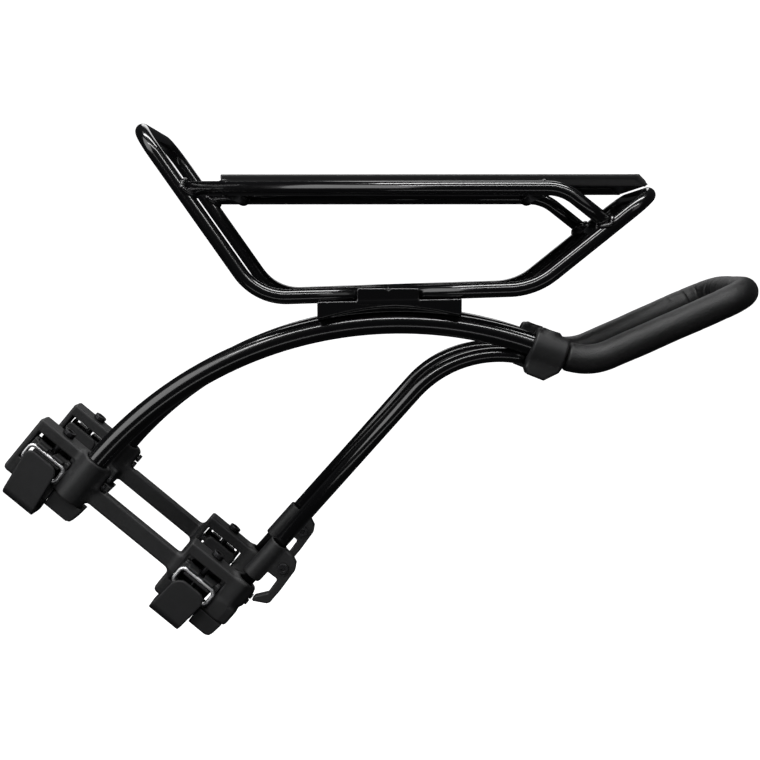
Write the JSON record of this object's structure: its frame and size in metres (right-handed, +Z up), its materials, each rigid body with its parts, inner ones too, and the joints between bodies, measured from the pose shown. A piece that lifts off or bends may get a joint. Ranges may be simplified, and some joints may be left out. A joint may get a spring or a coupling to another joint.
{
  "type": "rear rack",
  "caption": "Rear bicycle rack: two strap-on seat-stay clamps carry an arched tube frame with a flat-topped load platform and a padded tail loop.",
  "frame": {"origin": "middle plane of the rack, midway between the upper and lower clamps, on the line the stay pads sit on", "axes": "+X to the rear of the bicycle, +Y to the rack's right side, +Z up; a seat stay falls to the rear at 40 degrees"},
  "size_m": [0.5352, 0.1298, 0.3619],
  "materials": {
    "tube_coat": "gloss black powder coat",
    "plate_coat": "satin black powder coat",
    "nylon": "fine textured",
    "rubber": "matte",
    "foam": "matte, fine grain",
    "steel": "bright",
    "black_bolt": "black oxide"
  },
  "bodies": {
    "frame": {"arch_tube_left": "tube_coat", "arch_tube_right": "tube_coat", "lower_stay_left": "tube_coat", "lower_stay_right": "tube_coat", "tail_loop": "tube_coat", "tail_foam": "foam", "junction_block_left": "nylon", "junction_block_right": "nylon", "junction_bolt_left": "black_bolt", "junction_bolt_right": "black_bolt", "front_hoop": "tube_coat", "rear_hoop": "tube_coat", "top_rail_left": "tube_coat", "top_rail_right": "tube_coat", "front_cross_bar": "tube_coat", "rear_cross_bar": "tube_coat", "tail_cross_bar": "tube_coat", "top_plate": "plate_coat", "plate_screw_1": "black_bolt", "plate_screw_2": "black_bolt", "plate_screw_3": "black_bolt", "plate_screw_4": "black_bolt", "saddle_left": "tube_coat", "saddle_right": "tube_coat", "stay_bracket_left": "nylon", "stay_bracket_right": "nylon", "stay_pad_upper_left": "rubber", "pinch_screw_upper_1_left": "black_bolt", "pinch_screw_upper_2_left": "black_bolt", "stay_pad_upper_right": "rubber", "pinch_screw_upper_1_right": "black_bolt", "pinch_screw_upper_2_right": "black_bolt", "stay_pad_lower_left": "rubber", "pinch_screw_lower_1_left": "black_bolt", "pinch_screw_lower_2_left": "black_bolt", "stay_pad_lower_right": "rubber", "pinch_screw_lower_1_right": "black_bolt", "pinch_screw_lower_2_right": "black_bolt"},
    "clamp_bolt_upper_left": {"tension_bolt_upper_left": "black_bolt"},
    "clamp_strap_upper_left": {"slider_upper_left": "nylon", "strap_upper_left": "rubber", "bail_upper_left": "steel"},
    "clamp_bolt_upper_right": {"tension_bolt_upper_right": "black_bolt"},
    "clamp_strap_upper_right": {"slider_upper_right": "nylon", "strap_upper_right": "rubber", "bail_upper_right": "steel"},
    "clamp_bolt_lower_left": {"tension_bolt_lower_left": "black_bolt"},
    "clamp_strap_lower_left": {"slider_lower_left": "nylon", "strap_lower_left": "rubber", "bail_lower_left": "steel"},
    "clamp_bolt_lower_right": {"tension_bolt_lower_right": "black_bolt"},
    "clamp_strap_lower_right": {"slider_lower_right": "nylon", "strap_lower_right": "rubber", "bail_lower_right": "steel"},
    "hook_left": {"bag_hook_left": "nylon", "hook_screw_left": "black_bolt", "hook_nut_left": "black_bolt"},
    "hook_right": {"bag_hook_right": "nylon", "hook_screw_right": "black_bolt", "hook_nut_right": "black_bolt"}
  },
  "joints": [
    {"name": "bolt_turn_upper_left", "type": "hinge", "parent": "frame", "child": "clamp_bolt_upper_left", "pos_m": [-0.04333, -0.0459, 0.09771], "axis": [-0.6428, 0, -0.766], "range_deg": [-5405, 1445]},
    {"name": "strap_pull_upper_left", "type": "slide", "parent": "frame", "child": "clamp_strap_upper_left", "axis": [0.6428, 0, 0.766], "range_m": [-0.012, 0.0032]},
    {"name": "bolt_turn_upper_right", "type": "hinge", "parent": "frame", "child": "clamp_bolt_upper_right", "pos_m": [-0.04333, 0.0459, 0.09771], "axis": [-0.6428, 0, -0.766], "range_deg": [-5405, 1445]},
    {"name": "strap_pull_upper_right", "type": "slide", "parent": "frame", "child": "clamp_strap_upper_right", "axis": [0.6428, 0, 0.766], "range_m": [-0.012, 0.0032]},
    {"name": "bolt_turn_lower_left", "type": "hinge", "parent": "frame", "child": "clamp_bolt_lower_left", "pos_m": [0.06147, -0.0459, 0.00978], "axis": [-0.6428, 0, -0.766], "range_deg": [-5405, 1445]},
    {"name": "strap_pull_lower_left", "type": "slide", "parent": "frame", "child": "clamp_strap_lower_left", "axis": [0.6428, 0, 0.766], "range_m": [-0.012, 0.0032]},
    {"name": "bolt_turn_lower_right", "type": "hinge", "parent": "frame", "child": "clamp_bolt_lower_right", "pos_m": [0.06147, 0.0459, 0.00978], "axis": [-0.6428, 0, -0.766], "range_deg": [-5405, 1445]},
    {"name": "strap_pull_lower_right", "type": "slide", "parent": "frame", "child": "clamp_strap_lower_right", "axis": [0.6428, 0, 0.766], "range_m": [-0.012, 0.0032]},
    {"name": "hook_slide_left", "type": "slide", "parent": "frame", "child": "hook_left", "axis": [0.6639, 0, 0.7478], "range_m": [-0.0045, 0.13]},
    {"name": "hook_slide_right", "type": "slide", "parent": "frame", "child": "hook_right", "axis": [0.6639, 0, 0.7478], "range_m": [-0.015, 0.12]}
  ],
  "couplings": [
    {"joint": "bolt_turn_upper_left", "follows": "strap_pull_upper_left", "rad_per_m": 7854},
    {"joint": "bolt_turn_upper_right", "follows": "strap_pull_upper_right", "rad_per_m": 7854},
    {"joint": "bolt_turn_lower_left", "follows": "strap_pull_lower_left", "rad_per_m": 7854},
    {"joint": "bolt_turn_lower_right", "follows": "strap_pull_lower_right", "rad_per_m": 7854}
  ]
}
